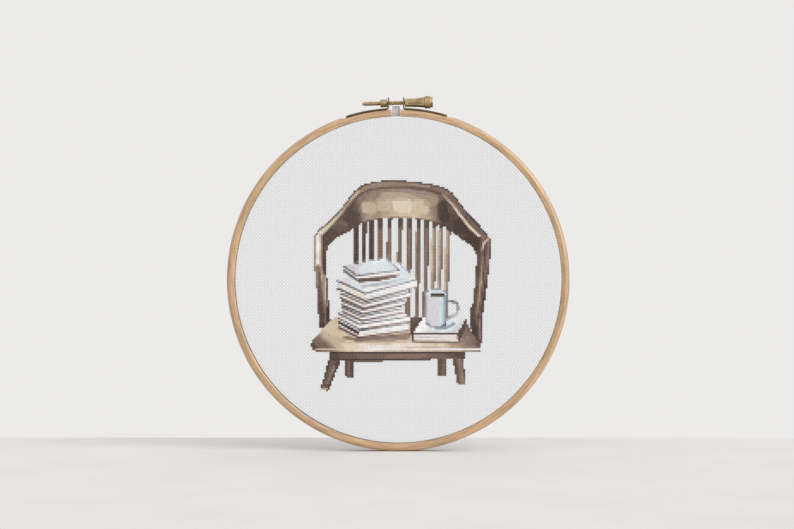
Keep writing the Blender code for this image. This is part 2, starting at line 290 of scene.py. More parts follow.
def cottonEvenweave():
    # A plain weave: each crossing shows either the upright or the level thread; the level thread
    # and the gaps between threads are darkened as painted shade
    made, tree, shader = newMaterial(
        "cotton_evenweave", Roughness=cloth["roughness"], IOR=1.45,
        Sheen_Weight=0.15, Sheen_Roughness=0.5)
    place = addNode(tree, "Attribute", attribute_name="clothPlace")
    turns = math.pi * 1000 / cloth["threadMm"]
    scaled = addNode(tree, "VectorMath", {0: place.outputs["Vector"], 3: turns}, operation="SCALE")
    parts = addNode(tree, "SeparateXYZ", {0: scaled})
    across = addNode(tree, "Math", {0: parts.outputs[0]}, operation="SINE")
    along = addNode(tree, "Math", {0: parts.outputs[1]}, operation="SINE")
    crossing = addNode(tree, "Math", {0: across, 1: along}, operation="MULTIPLY")
    acrossSize = addNode(tree, "Math", {0: across}, operation="ABSOLUTE")
    alongSize = addNode(tree, "Math", {0: along}, operation="ABSOLUTE")
    upright = addNode(tree, "Math", {0: acrossSize, 1: crossing}, operation="ADD")
    level = addNode(tree, "Math", {0: alongSize, 1: crossing}, operation="SUBTRACT")
    topmost = addNode(tree, "Math", {0: upright, 1: level}, operation="MAXIMUM")
    height = addNode(tree, "Math", {0: topmost, 1: 0.5}, operation="MULTIPLY")
    # The level threads take a darker colour than the upright ones: painted shade for how the light
    # falls across the two directions
    over = addNode(tree, "MapRange", {"Value": crossing, "From Min": -1.0, "From Max": 1.0})
    threads = addNode(tree, "Mix", {
        0: over, 6: hexColour(cloth["shadedWeft"]), 7: hexColour(cloth["warp"]),
    }, data_type="RGBA")
    # Between the threads, where they are low, the colour turns to the darker hole colour: painted
    # shade in the gaps of the weave
    gapShadeMask = addNode(tree, "MapRange", {"Value": height, "From Min": 0.05, "From Max": 0.4})
    woven = addNode(tree, "Mix", {
        0: gapShadeMask, 6: hexColour(cloth["hole"]), 7: threads.outputs[2],
    }, data_type="RGBA")
    tree.links.new(woven.outputs[2], shader.inputs["Base Color"])
    bump = addNode(tree, "Bump", {
        "Height": height, "Strength": cloth["bump"], "Distance": cloth["bumpMm"] * mm,
    })
    tree.links.new(bump.outputs[0], shader.inputs["Normal"])
    return made


strandedCotton = {
    "roughness": 0.75, "sheen": 0.1,
    "twistMm": 0.35,  # one strand's twist is finer than would show, so it is drawn this coarse
    "bump": 0.3, "bumpMm": 0.05,
}


def strandedFloss(name, colour=None):
    # Loosely twisted mercerised strands: a soft sheen, each stitch in its skein's own colour
    made, tree, shader = newMaterial(
        name, Roughness=strandedCotton["roughness"], IOR=1.45,
        Sheen_Weight=strandedCotton["sheen"], Sheen_Roughness=0.4)
    if colour:
        shader.inputs["Base Color"].default_value = hexColour(colour)
    else:
        tint = addNode(tree, "Attribute", attribute_name="flossTint").outputs["Vector"]
        tree.links.new(tint, shader.inputs["Base Color"])
    strand = addNode(tree, "Attribute", attribute_name="strandPlace").outputs["Vector"]
    # The ply slants across the strand
    perMm = 1 / strandedCotton["twistMm"]
    slant = addNode(tree, "VectorMath", {0: strand, 1: (perMm, perMm, 0)}, operation="MULTIPLY")
    twist = addNode(tree, "TexWave", {"Vector": slant, "Scale": 1.0}, bands_direction="DIAGONAL")
    bump = addNode(tree, "Bump", {
        "Height": twist.outputs["Fac"], "Strength": strandedCotton["bump"],
        "Distance": strandedCotton["bumpMm"] * mm,
    })
    tree.links.new(bump.outputs[0], shader.inputs["Normal"])
    return made


# Outer ring: one strip of beech, split at the top

outerRing = {
    "endsDeg": (0.75, 357.8),
    "splitDeg": 184.0,  # where the frame's two halves meet
    "strapEndsDeg": (-17.8, 16.6), "letInMm": 0.8, "rampDeg": 2.0,
    "domeMm": (1.0, 2.5), "backCornerMm": 0.8, "stepDeg": 1.2,
    "endCornerMm": 0.3,
    "bendHalfWidthMm": 2.8,
}


def stripSection(inside, outside, front, back, domes, corner):
    # A strip's section: its front rounded to the inner and the outer wall, two small corners behind
    middle, half = (inside + outside) / 2, (outside - inside) / 2
    points = []
    for t in np.linspace(0, math.pi, 19):
        dome = domes[0] if t < math.pi / 2 else domes[1]
        points.append((middle - half * math.cos(t), front + dome * (1 - math.sin(t))))
    points += arcPoints((outside - corner, back - corner), corner, 0, 90, 3)
    points += arcPoints((inside + corner, back - corner), corner, 90, 180, 3)
    return points


def woodRadius(angle):
    left, right = outerRing["strapEndsDeg"]
    pastEnd = max(angle - right, left - angle) / outerRing["rampDeg"]
    share = min(1, max(0, pastEnd))
    share = share * share * (3 - 2 * share)
    return hoopRadius - outerRing["letInMm"] * mm * (1 - share)


def makeOuterRing(material):
    size = outerRing
    start, end = size["endsDeg"]
    corner = size["endCornerMm"] * mm
    # Stations lie close together where the two ends are rounded over
    ends = []
    for t in np.linspace(0, math.pi / 2, 5):
        reach, inset = corner * (1 - math.cos(t)), corner * (1 - math.sin(t))
        ends.append((math.degrees(reach / clothRadius), inset))
    between = np.linspace(start + 0.6, end - 0.6, round((end - start) / size["stepDeg"]))
    loops = [(start + away, inset) for away, inset in ends] + [(angle, 0.0) for angle in between]
    loops += [(end - away, inset) for away, inset in reversed(ends)]
    vertices, places = [], []
    for angle, inset in loops:
        nearest = angle if angle <= 180 else angle - 360
        section = stripSection(
            hoopRadius - ringThickness + inset, woodRadius(nearest) - inset,
            ringFront + inset, ringBack - inset,
            [dome * mm for dome in size["domeMm"]], size["backCornerMm"] * mm)
        for radius, y in section:
            vertices.append(onHoop(angle, radius, y))
            places.append((math.radians(angle) * hoopRadius, radius, y))
    columns = len(section)
    faces = gridFaces(len(loops), columns, closedColumns=True) + capFaces(columns, vertices)
    ring = newPiece("outer_ring", vertices, faces, material, None,
                    ("outer_ring_right", "outer_ring_left"), {"grainPlace": places}, smooth=50)
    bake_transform(ring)
    print("outer ring", len(vertices), "vertices")


# Inner ring: a closed strip with one glued joint

innerRing = {
    "thicknessMm": 4.0, "cornerMm": 0.9, "stepDeg": 1.5,
    "jointDeg": 176.0, "jointGapMm": 0.06,
    "grainShift": 1.0,  # metres along the grain, so that it isn't the outer ring's
}


def makeInnerRing(material):
    size = innerRing
    radius = innerHigh[0]
    halfGap = math.degrees(size["jointGapMm"] * mm / 2 / radius)
    start = size["jointDeg"] + halfGap
    loops = np.linspace(start, start + 360 - 2 * halfGap, round(360 / size["stepDeg"]))
    corner = size["cornerMm"] * mm
    inside = radius - size["thicknessMm"] * mm
    section = stripSection(inside, radius, innerLow[1], innerHigh[1], (corner, corner), corner)
    vertices = [onHoop(a, r, y) for a in loops for r, y in section]
    shift = size["grainShift"]
    places = [(math.radians(a) * radius + shift, r, y) for a in loops for r, y in section]
    columns = len(section)
    faces = gridFaces(len(loops), columns, closedColumns=True) + capFaces(columns, vertices)
    newPiece("inner_ring_visual", vertices, faces, material, "stretched_work",
             ("inner_ring",), {"grainPlace": places}, smooth=50)
    print("inner ring", len(vertices), "vertices")


# Fabric: a disc of evenweave stretched over the inner ring

fabric = {
    "frontCornerMm": 0.38, "backCornerMm": 0.8, "stepDeg": 0.5,
    "closerMm": 0.12, "closerDeg": 55,  # how far the work sits off centre, and which way
    "discRowsMm": (1, 15, 35, 55, 75, 88, 95, 98),
    "marginRowsMm": (98.6, 96.8, 95, 93.4, 91.8, 90.4, 89.3, 88.6, 88.2, 87.8, 87.2, 86.4, 85.4),
    "marginDepthMm": 0.35,  # of the middle of the margin, behind the inner ring
    "pleats": 74, "pleatMm": 0.55, "pleatsGrowMm": (99.5, 93),  # from flat to full height
    "threadRadiusMm": 88.2, "threadPinchMm": 1.1,  # the gathering thread draws the pleats down
    "hemFlareMm": 0.5, "hemGrowsMm": (88, 85),
    "pinchMm": (-3.75, 1.18),  # the fold between the outer ring's ends: its sides
    "pinchTopMm": 107.6, "pinchFrontMm": 0.4, "pinchBackMm": 3.2, "pinchWaveMm": 0.12,
}


def softStep(value, low, high):
    share = np.clip((value - low) / (high - low), 0, 1)
    return share * share * (3 - 2 * share)


def pleatWave(turn):
    # Uneven folds round the hoop
    phase = fabric["pleats"] * turn + 0.9 * np.sin(3 * turn + 1) + 0.6 * np.sin(8 * turn + 2)
    swell = 0.8 + 0.25 * np.sin(5 * turn + 0.4) * np.sin(11 * turn)
    return phase, swell * (np.sin(phase) + 0.3 * np.sin(2 * phase + 0.7))


def makeFabric(material):
    size = fabric
    front, back = size["frontCornerMm"] * mm, size["backCornerMm"] * mm
    marginY = innerHigh[1] + size["marginDepthMm"] * mm
    bandBack = marginY + 0.25 * mm - back
    bandRows = np.linspace(clothFront + front + 0.2 * mm, bandBack - 0.1 * mm, 26)
    # Rows from the middle of the disc, over the front corner, back along the rim and in behind
    rows = [(r * mm, clothFront) for r in size["discRowsMm"]]
    rows += [(clothRadius - front + front * math.sin(t), clothFront + front - front * math.cos(t))
             for t in np.linspace(0, math.pi / 2, 7)]
    rows += [(clothRadius, y) for y in bandRows]
    rows += [(clothRadius - back + back * math.cos(t), bandBack + back * math.sin(t))
             for t in np.linspace(0, math.pi / 2, 5)]
    rows += [(r * mm, bandBack + back) for r in size["marginRowsMm"]]
    steps = [math.dist(a, b) for a, b in zip(rows, rows[1:])]
    onCloth = np.cumsum([rows[0][0]] + steps)
    # Angles: even all round, with more of them where the cloth is pinched up in the ring's gap
    left, right = (math.degrees(x * mm / clothRadius) for x in size["pinchMm"])
    even = list(np.arange(2.2, 356.8, size["stepDeg"]))
    turn = np.radians(even + list(np.linspace(357.0, 362.0, 46)))
    aside = np.degrees(turn) - 360 * (turn > math.pi)
    inGap = softStep(aside, left, left + 0.22) * (1 - softStep(aside, right - 0.22, right))
    pinchFront, pinchBack = size["pinchFrontMm"] * mm, size["pinchBackMm"] * mm
    towards = 1 + np.cos(turn - math.radians(size["closerDeg"]))
    pleatStart, pleatFull = (r * mm for r in size["pleatsGrowMm"])
    hemStart, hemFull = (r * mm for r in size["hemGrowsMm"])
    phase, wave = pleatWave(turn)
    vertices, places = [], []
    for (radius, y), reach in zip(rows, onCloth):
        # The margin's pleats, drawn down by the thread and flared at the hem
        behind = y > 2 * mm
        inMargin = softStep(-radius, -pleatStart, -pleatFull) if behind else 0.0
        flare = size["hemFlareMm"] * mm * softStep(-radius, -hemStart, -hemFull) if behind else 0.0
        fromThread = (radius - size["threadRadiusMm"] * mm) / (size["threadPinchMm"] * mm)
        height = size["pleatMm"] * mm * inMargin * (1 - 0.35 * math.exp(-fromThread ** 2))
        rise = height * (1 + wave) + flare * (0.6 + 0.5 * np.sin(2.3 * phase + 1))
        lean = height * 1.1 * np.cos(phase) / max(radius, mm)
        # The fold that stands up in the gap
        inBand = softStep(y, pinchFront - 0.9 * mm, pinchFront + 0.5 * mm)
        inBand *= 1 - softStep(y, pinchBack - 0.8 * mm, pinchBack + 0.3 * mm)
        onRim = radius > clothRadius - mm
        fold = size["pinchWaveMm"] * mm * np.sin(aside * 7 + 1) * inGap if onRim else 0.0
        lift = (size["pinchTopMm"] * mm - clothRadius) * inGap * inBand + fold * inBand
        # The front of the rim, a little nearer the outer ring on one side
        onWall = softStep(radius, clothRadius - 0.9 * mm, clothRadius)
        onWall *= 1 - softStep(y, -1 * mm, 0.5 * mm)
        offset = size["closerMm"] * mm * onWall * towards
        for k in range(len(turn)):
            r = radius + offset[k] + (lift[k] if radius >= clothRadius - 1e-9 else 0)
            a = turn[k] + (lean[k] if inMargin else 0)
            depth = y + (rise[k] if inMargin else 0)
            vertices.append((r * math.sin(a), depth, hoopRadius + r * math.cos(a)))
            places.append((reach * math.sin(turn[k]), reach * math.cos(turn[k]), 0))
    columns = len(turn)
    faces = gridFaces(len(rows), columns, closedColumns=True)
    faces.append(tuple(range(columns)))
    sheet = newPiece("fabric_cover", vertices, faces, material, "stretched_work",
                     ("fabric",), {"clothPlace": places}, smooth=60)
    solid = sheet.modifiers.new("thickness", "SOLIDIFY")
    solid.thickness = cloth["thicknessMm"] * mm
    solid.offset = -1
    applyModifiers(sheet)


gatheringThread = {"radiusMm": 0.26, "stepDeg": 0.6, "sides": 8, "depthMm": 1.32, "waveMm": 0.1}


def makeGatheringThread(material):
    # It runs level through the pleats, so it shows in the hollows between them
    size = gatheringThread
    turns = np.radians(np.arange(0, 360, size["stepDeg"]))
    ringRadius, thick = fabric["threadRadiusMm"] * mm, size["radiusMm"] * mm
    phase, _ = pleatWave(turns)
    vertices, places = [], []
    for number, turn in enumerate(turns):
        y = innerHigh[1] + (size["depthMm"] + size["waveMm"] * math.sin(phase[number] + 1)) * mm
        for side in np.linspace(0, math.tau, size["sides"] + 1)[:-1]:
            radius = ringRadius + thick * math.cos(side)
            vertices.append(onHoop(math.degrees(turn), radius, y + thick * math.sin(side)))
            places.append((turn * ringRadius / mm, side * thick / mm, 0.5))
    faces = gridFaces(len(turns), size["sides"], closedRows=True, closedColumns=True)
    newPiece("running_thread", vertices, faces, material, "stretched_work",
             ("gathering_thread",), {"strandPlace": places})
    print("gathering thread", len(vertices), "vertices")


# Stitched picture: an armchair with books and a mug, in cross stitch

flosses = {
    "brown_floss": "#2B1F1A #3A2B24 #493832 #594740 #6A574D #7A665B #8B7467 #8F7B76 #A38E88 "
                   "#9D8876 #AE9986 #BFAB97 #CDBBA5 #D9C9B2 #E4D9C6 #F0E7DB #CFBFB8",
    "pale_floss": "#FFFFFF #F4F6F6 #E4EEF2 #D2E3EC #E0DDE4 #F0EAE8 #B9C8D2 #D3D1D8",
    "grey_floss": "#97A5AE #788790 #5A676E #3E4548 #BFBCC6 #A9A5A3",
}
stitch = {
    "strandMm": 0.74, "heightMm": 0.2, "insetMm": 0.05,
    "seed": 7, "jitterMm": 0.03, "toneSpread": 0.05, "mostInPiece": 2700,
}

# The picture is first painted on the cloth's grid, in millimetres from the hoop's centre
gridMm = cloth["threadMm"]
columnsOf, rowsOf = np.arange(-56, 57), np.arange(-66, 61)
cellX, cellZ = np.meshgrid((columnsOf + 0.5) * gridMm, (rowsOf + 0.5) * gridMm)
canvas = np.ones((*cellX.shape, 3))  # display colours, not linear ones
stitched = np.zeros(cellX.shape, bool)


def valueNoise(sizes, seed):
    # Smooth variation from -1 to 1, in patches of these many millimetres across and up
    lattice = np.random.default_rng(seed).uniform(-1, 1, (90, 90))
    u, v = (cellX + 100) / sizes[0] % 88, (cellZ + 100) / sizes[1] % 88
    i, j = u.astype(int), v.astype(int)
    s, t = softStep(u - i, 0, 1), softStep(v - j, 0, 1)
    low = lattice[j, i] * (1 - s) + lattice[j, i + 1] * s
    high = lattice[j + 1, i] * (1 - s) + lattice[j + 1, i + 1] * s
    return low * (1 - t) + high * t


washes = valueNoise((8, 6), 3) * 0.6 + valueNoise((3, 3), 4) * 0.4


def insideOf(outline):
    found = np.zeros(cellX.shape, bool)
    for (x1, z1), (x2, z2) in zip(outline, outline[1:] + outline[:1]):
        if z1 != z2:
            crosses = (cellZ < z1) != (cellZ < z2)
            found ^= crosses & (cellX < x1 + (cellZ - z1) * (x2 - x1) / (z2 - z1))
    return found


def alongLine(points):
    # For each cell: its distance from a bent line, the same signed by side, and how far along it is
    lengths = [math.dist(a, b) for a, b in zip(points, points[1:])]
    total, gone = sum(lengths), 0
    nearest = np.full(cellX.shape, 1e9)
    across, along = np.zeros(cellX.shape), np.zeros(cellX.shape)
    for (x1, z1), (x2, z2), length in zip(points, points[1:], lengths):
        ux, uz = (x2 - x1) / length, (z2 - z1) / length
        s = np.clip((cellX - x1) * ux + (cellZ - z1) * uz, 0, length)
        away = np.hypot(cellX - x1 - s * ux, cellZ - z1 - s * uz)
        side = np.sign((cellX - x1) * uz - (cellZ - z1) * ux)
        closer = away < nearest
        nearest = np.where(closer, away, nearest)
        across = np.where(closer, away * side, across)
        along = np.where(closer, (gone + s) / total, along)
        gone += length
    return nearest, across, along


def blendOf(field, stops):
    # Colours mixed along a field of numbers
    places = [place for place, _ in stops]
    colours = np.array([shownColour(code) for _, code in stops])
    return np.stack([np.interp(field, places, colours[:, k]) for k in range(3)], -1)


def evenly(field, codes):
    # One hex code, or several spread evenly over a field from 0 to 1
    codes = codes.split()
    if len(codes) == 1:
        return codes[0]
    return blendOf(field, [(k / (len(codes) - 1), code) for k, code in enumerate(codes)])


def lay(cover, colour, wash=0.05, grows=True):
    # Lays a colour, or a field of colours, where cover is more than nothing
    cover = np.asarray(cover, float)
    if isinstance(colour, str):
        colour = np.array(shownColour(colour))
    tinted = colour * (1 + wash * washes)[..., None]
    if grows:
        stitched[cover > 0.5] = True
    else:
        cover = cover * stitched
    canvas[:] = canvas * (1 - cover[..., None]) + tinted * cover[..., None]


def brush(points, halfWidth, codes, soft=0.6, grows=False, **how):
    # A stroke of the brush; two half widths or several colours change from its start to its end
    nearest, _, along = alongLine(points)
    if isinstance(halfWidth, tuple):
        halfWidth = halfWidth[0] + (halfWidth[1] - halfWidth[0]) * along
    cover = np.clip((halfWidth - nearest) / soft + 0.5, 0, 1)
    lay(cover, evenly(along, codes), grows=grows, **how)


def bar(points, halfWidths, codes, **how):
    # A straight-sided piece of wood, its colours given from its left side to its right
    nearest, across, along = alongLine(points)
    width = halfWidths[0] + (halfWidths[1] - halfWidths[0]) * along
    within = (nearest < width) & ((along > 0) & (along < 1) | (nearest < 0.4))
    lay(within, evenly(np.clip(-across / width * 0.5 + 0.5, 0, 1), codes), **how)


chair = {
    "topEdge": [(-51.5, 22), (-51.4, 27), (-49.6, 30.6), (-44, 34.6), (-37.2, 41.4), (-31.4, 49),
                (-26.8, 55), (-21.6, 58.6), (-14, 60.7), (-4, 61.4), (8, 60.8), (20, 59.2),
                (28, 57), (33.2, 54), (37.4, 48.4), (43.4, 40.4), (50.8, 33), (55.4, 27.8),
                (57.4, 21)],
    "underEdge": [(47.6, 15), (47, 19.6), (41, 24), (34, 29), (27.4, 33.6), (18.4, 36.6), (8, 38),
                  (-3, 38.2), (-12, 37.4), (-21, 35.6), (-28, 31.4), (-37.6, 26.2), (-43, 20.6),
                  (-45, 15)],
    "rimLine": [(-47.2, 22), (-46.4, 27.5), (-40.5, 34), (-34, 41.6), (-28.6, 48.6), (-23, 54),
                (-16.4, 56.6), (-4, 57.4), (8, 57), (19, 55.6), (26.4, 53.4), (31, 49.6),
                (36.6, 42), (43, 33.4), (49.6, 26.6), (52, 21)],
    "crownLine": [(-49.35, 22), (-48.5, 28.05), (-42.25, 34.3), (-35.6, 41.5), (-30, 48.8),
                  (-24.7, 54.7), (-17.2, 58.1), (-4, 59.4), (8, 58.9), (19.5, 57.4), (27.2, 55.2),
                  (33, 50.7), (38.6, 43), (45, 35), (51.5, 28.3), (54.6, 21.5)],
    "spindlesAt": (-25.7, -21.0, -16.4, -11.1, -5.2, 1.3, 7.2, 12.8, 17.9, 22.5, 26.6, 31.2),
}


def drawSpindles():
    for number, x in enumerate(chair["spindlesAt"]):
        lean = -0.4 - 0.16 * number
        if number < 3:
            colours = "#6A554B #4A3A33 #6B564E"
        elif number < 9:
            colours = "#A08984 #755E58 #8B7370" if number % 2 else "#7A655E #967F78 #65524B"
        else:
            colours = "#D8CAB8 #B09A84 #7F6B5E"
        bar([(x, 38), (x + lean, -27)], (1.5, 1.3), colours, wash=0.12)
        brush([(x, 37), (x - 0.1, 33)], 1.2, "#4A3B35 #5F4E46")


def drawCrest():
    top, under = chair["topEdge"], chair["underEdge"]
    rim, crown = chair["rimLine"], chair["crownLine"]
    lay(insideOf(top + under), "#66534A", wash=0.16)
    # The hollow of the back catches the light in the middle
    panel = insideOf(rim + under)
    shade = blendOf(cellX, [
        (-48, "#514039"), (-36, "#63514A"), (-29, "#564640"), (-24, "#8C7567"), (-17, "#B7A18E"),
        (-11, "#B3A293"), (-6, "#CCB8A2"), (4, "#DDCDB4"), (11, "#D6C3AC"), (19, "#C3AC95"),
        (24, "#907A6B"), (28, "#54443D"), (36, "#5A4941"), (48, "#493A34")])
    lay(panel, shade, wash=0.1)
    height = (cellZ - 38) / 17
    upper = np.clip((height - 0.45) * 1.6, 0, 0.75) * (np.abs(cellX - 1) < 30)
    lay(upper * panel, "#8D7F75", wash=0.1)
    # Patches of light and shade: their middle, half their size and their colour
    for x, z, wide, high, colour in (
            (2.5, 46, 6, 4.4, "#E6DECF"), (14, 45, 5, 4.2, "#E2CFB8"),
            (-9, 46.5, 4.2, 4, "#D0C2B8"), (-18, 44.5, 4.6, 3.6, "#D9C2AC"),
            (20.5, 48.5, 4.4, 3, "#C0A592"), (-2, 51.5, 9, 2.4, "#BFAE9F"),
            (28, 42, 3.6, 6, "#483A34"), (-27, 38, 4, 4, "#57443C"),
            (-36, 33.5, 4.6, 3, "#7A6556"), (38, 33, 4, 4.4, "#43352F"),
            (33, 45, 2.6, 4, "#6F5A4F")):
        blob = ((cellX - x + 0.12 * (cellZ - z)) / wide) ** 4 + ((cellZ - z) / high) ** 4
        lay(np.clip(1.6 - blob, 0, 1) * 0.8 * panel, colour, wash=0.06)
    brush(rim, 1.1, "#4A3B33 #55453C #5E4C42 #7A6657 #5A4940 #4A3B34 #4B3C35")
    # The rolled rim: dark outside, pale along its crown
    brush(crown, 1.7,
          "#E9DED2 #C9B7A4 #8B7566 #A08A78 #A8937F #8A7464 #7A665A #8B7565 #76625A #7F6A5F #836E62",
          wash=0.12)
    brush(crown[1:6], 0.85, "#EFE6DA #E2D3C2 #B9A28D #D5C3AE", wash=0.1)
    brush(crown[7:10], 0.5, "#9F8A79 #B29D8A", wash=0.1)
    brush([(27.5, 52.5), (32.5, 47.6), (37.6, 40.6), (44.4, 32.2), (50, 27), (53, 22.5)],
          (0.6, 1.0), "#A8917C #E4D6C4 #EFE4D6 #D8C6B2")
    brush(top[1:], 0.75, "#7B6557 #6A564B #4E3E36 #5A483F #6F5A4E #5C4A41 #4A3A33 #4C3C35 #65524A")
    brush(under[2:-2], 0.55, "#5E4C44 #4B3C36 #6C584C #8A7462 #6F5B50 #574640 #6E594D")


def drawPosts():
    left = [(-48.3, 28), (-48.4, 10), (-46.6, -8), (-45.4, -30)]
    bar(left, (3.5, 3.4), "#8E796B #F1EAE4 #FFFCF8 #BDAA9A #43352F #655248", wash=0.1)
    brush([(-49.4, 8), (-47.8, -12), (-46.6, -29)], (1.2, 2.4), "#8A7264 #65524A #483934",
          wash=0.14)
    brush([(-44.7, 14), (-43.7, -8)], (0.7, 0.9), "#3F312B #5B4A41")
    brush([(-45.6, 3), (-44.6, -16)], (0.5, 0.8), "#E9DCCB #B39C86")
    brush([(-46.8, -4), (-45.2, -20), (-44.8, -28)], 0.7, "#A8917E #8B7163 #6E594E")
    brush([(-43.6, -20), (-42.6, -28)], (0.8, 1.5), "#45352F", grows=True)
    right = [(53.4, 26), (52.6, 12), (50.6, -8), (48.2, -26), (49, -39)]
    bar(right, (4.3, 3.1), "#43352F #624F46 #866F60 #56453D #A08A78 #483A34", wash=0.12)
    brush([(52.4, 14), (50.8, -4), (49, -20)], (0.6, 0.9), "#8F7668 #C0A78F #8E7564")
    brush([(49.4, 18), (48.4, 6), (46.8, -10)], (1.3, 0.8), "#54433B #6E5A50")
    brush([(55.4, 14), (54, -4), (51.2, -24)], (0.8, 1.0), "#9A8474 #4A3A33 #54443C")
    brush([(46, -18), (46.6, -30), (49, -39)], (1.4, 1.9), "#5F4C43 #453630 #55443C", grows=True)
    brush([(55.8, 25.5), (53, 22.5), (51.6, 18)], 0.7, "#BBA48E #E0D1BE #A48C78")


def drawSeat():
    wood = "#41332D #7F695D #5F4D43 #45372F"
    bar([(-29.8, -48), (-30, -60.6)], (2.9, 2.3), "#4C3D36 #7A6559 #5C4A41 #483933", wash=0.14)
    bar([(27.3, -48), (27, -59)], (2.9, 2.7), "#6F5A4E #5A4840 #7F695B #54433B", wash=0.14)
    bar([(-38.6, -48), (-45.6, -68)], (3.7, 2.4), wood, wash=0.14)
    bar([(36.6, -47), (39.4, -64.4)], (3.2, 2.6), "#57473F #77625A #A38D7E #5C4B43", wash=0.14)
    brush([(-39.6, -54), (-43.6, -64)], 0.8, "#A28A76 #8A7262")
    brush([(38, -53), (39.4, -61)], 0.6, "#7E695C #A38B78")
    brush([(-47, -67.2), (-44, -67.2)], 0.7, "#C9B197")
    rail = insideOf([(-43, -44), (41.4, -44), (41, -48.6), (4, -49.8), (-41.5, -49.4)])
    lay(rail, blendOf(cellX, [
        (-43, "#56463F"), (-20, "#7C665E"), (5, "#8A7370"), (26, "#79655D"), (41, "#53433D")]),
        wash=0.08)
    brush([(-41, -49), (0, -49.6), (20, -49)], (0.5, 0.7), "#4B3B34 #46372F #5F4D44")
    brush([(-27, -50.4), (-10, -50.6)], 0.6, "#75614F", grows=True)
    seat = [(-42, -25), (-47, -31), (-53, -37.6), (-54.2, -40.4), (-52.6, -43), (-49, -44.8),
            (50.6, -44.4), (50.8, -40.4), (47, -35), (44, -30), (41, -24), (-38, -23)]
    tone = blendOf(cellX + 1.2 * (cellZ + 34), [
        (-62, "#6A564D"), (-52, "#84705F"), (-47, "#CAB6A0"), (-36, "#D7C6AE"), (-20, "#CBB8A2"),
        (0, "#D6C6B4"), (24, "#C0A992"), (36, "#9A836F"), (46, "#7E695B")])
    lay(insideOf(seat), tone, wash=0.09)
    brush([(-34, -40.6), (-6, -41.4), (14, -39.6), (30, -40.8)], (1.6, 1.4),
          "#DCCFC2 #EEE5E1 #EBE3E0 #D8C9BB")
    brush([(-26, -37.4), (-4, -36.6), (6, -35.4)], 1.3, "#A08772 #B39B84 #9C8470")
    brush([(-52.6, -40.6), (-48.6, -43.8)], 1.0, "#54433B #6B564B")
    brush([(-46.6, -31.6), (-51.4, -37.4), (-53.6, -40)], 0.7, "#D9C7AF #8B7465 #4B3C35")
    brush([(43, -36), (49.4, -40)], (1.2, 1.4), "#9A8170 #6B564B")
    brush([(-50.6, -43), (-20, -43.4), (14, -43), (50, -43)], 0.7,
          "#C2AE9A #F8F2EE #F4ECE8 #F8F2EE")
    brush([(-47, -44.9), (0, -45.2), (49, -44.9)], 0.55, "#3D2F29 #4D3E36 #45362F")


# Lowest first: the left, front, right and back corner of a book's top, its thickness, its cover
stack = [
    ((-36.2, -25.4), (-24.2, -31.6), (6.4, -27.0), (-6, -21), 4.2, "#3F3A38"),
    ((-36.6, -21.0), (-24.0, -27.6), (7.6, -22.6), (-6, -17), 3.2, "#4A4E50"),
    ((-34.2, -17.4), (-22.4, -22.8), (3.0, -17.8), (-6, -13), 2.6, "#5B4A40"),
    ((-34.6, -13.2), (-21.8, -18.6), (3.8, -13.0), (-5, -9), 2.6, "#43474A"),
    ((-35.4, -8.6), (-21.2, -15.0), (8.4, -7.6), (-4, -4), 2.8, "#5C463A"),
    ((-37.4, -0.8), (-20.4, -8.6), (11.4, 0.0), (0.5, 10.4), 4.6, "#454442"),
    ((-33.8, 8.4), (-25.4, 2.4), (0.6, 5.8), (-7.4, 13.0), 2.6, "#3E4446"),
]


def drawBook(left, front, right, back, thickness, cover):
    def down(point, share=1.0):
        return (point[0], point[1] - share * thickness)

    lay(insideOf([left, front, down(front), down(left)]), "#F6F1EC", wash=0.03)
    lay(insideOf([front, right, down(right), down(front)]), "#FFFFFF", wash=0.01)
    if thickness > 4:
        brush([down(left, 0.5), down(front, 0.55), down(right, 0.5)], 0.35,
              "#D8CCC2 #DAD3D0 #F1EFEE", soft=1.0)
    lay(insideOf([left, front, right, back]), blendOf(cellX - 0.6 * cellZ, [
        (left[0], "#D8D8DE"), (front[0] + 6, "#F4F7F8"),
        (right[0] - 6, "#E6EEF1"), (right[0] + 6, "#FAFBFB")]), wash=0.02)
    brush([down(left), down(front), down(right)], (0.62, 0.4), f"{cover} {cover} #7A6E67 #988C85",
          soft=1.0, grows=True)
    brush([left, front, right], (0.5, 0.32), f"{cover} #5C5B59 #8A8E90 #80868A", soft=1.0,
          grows=True)


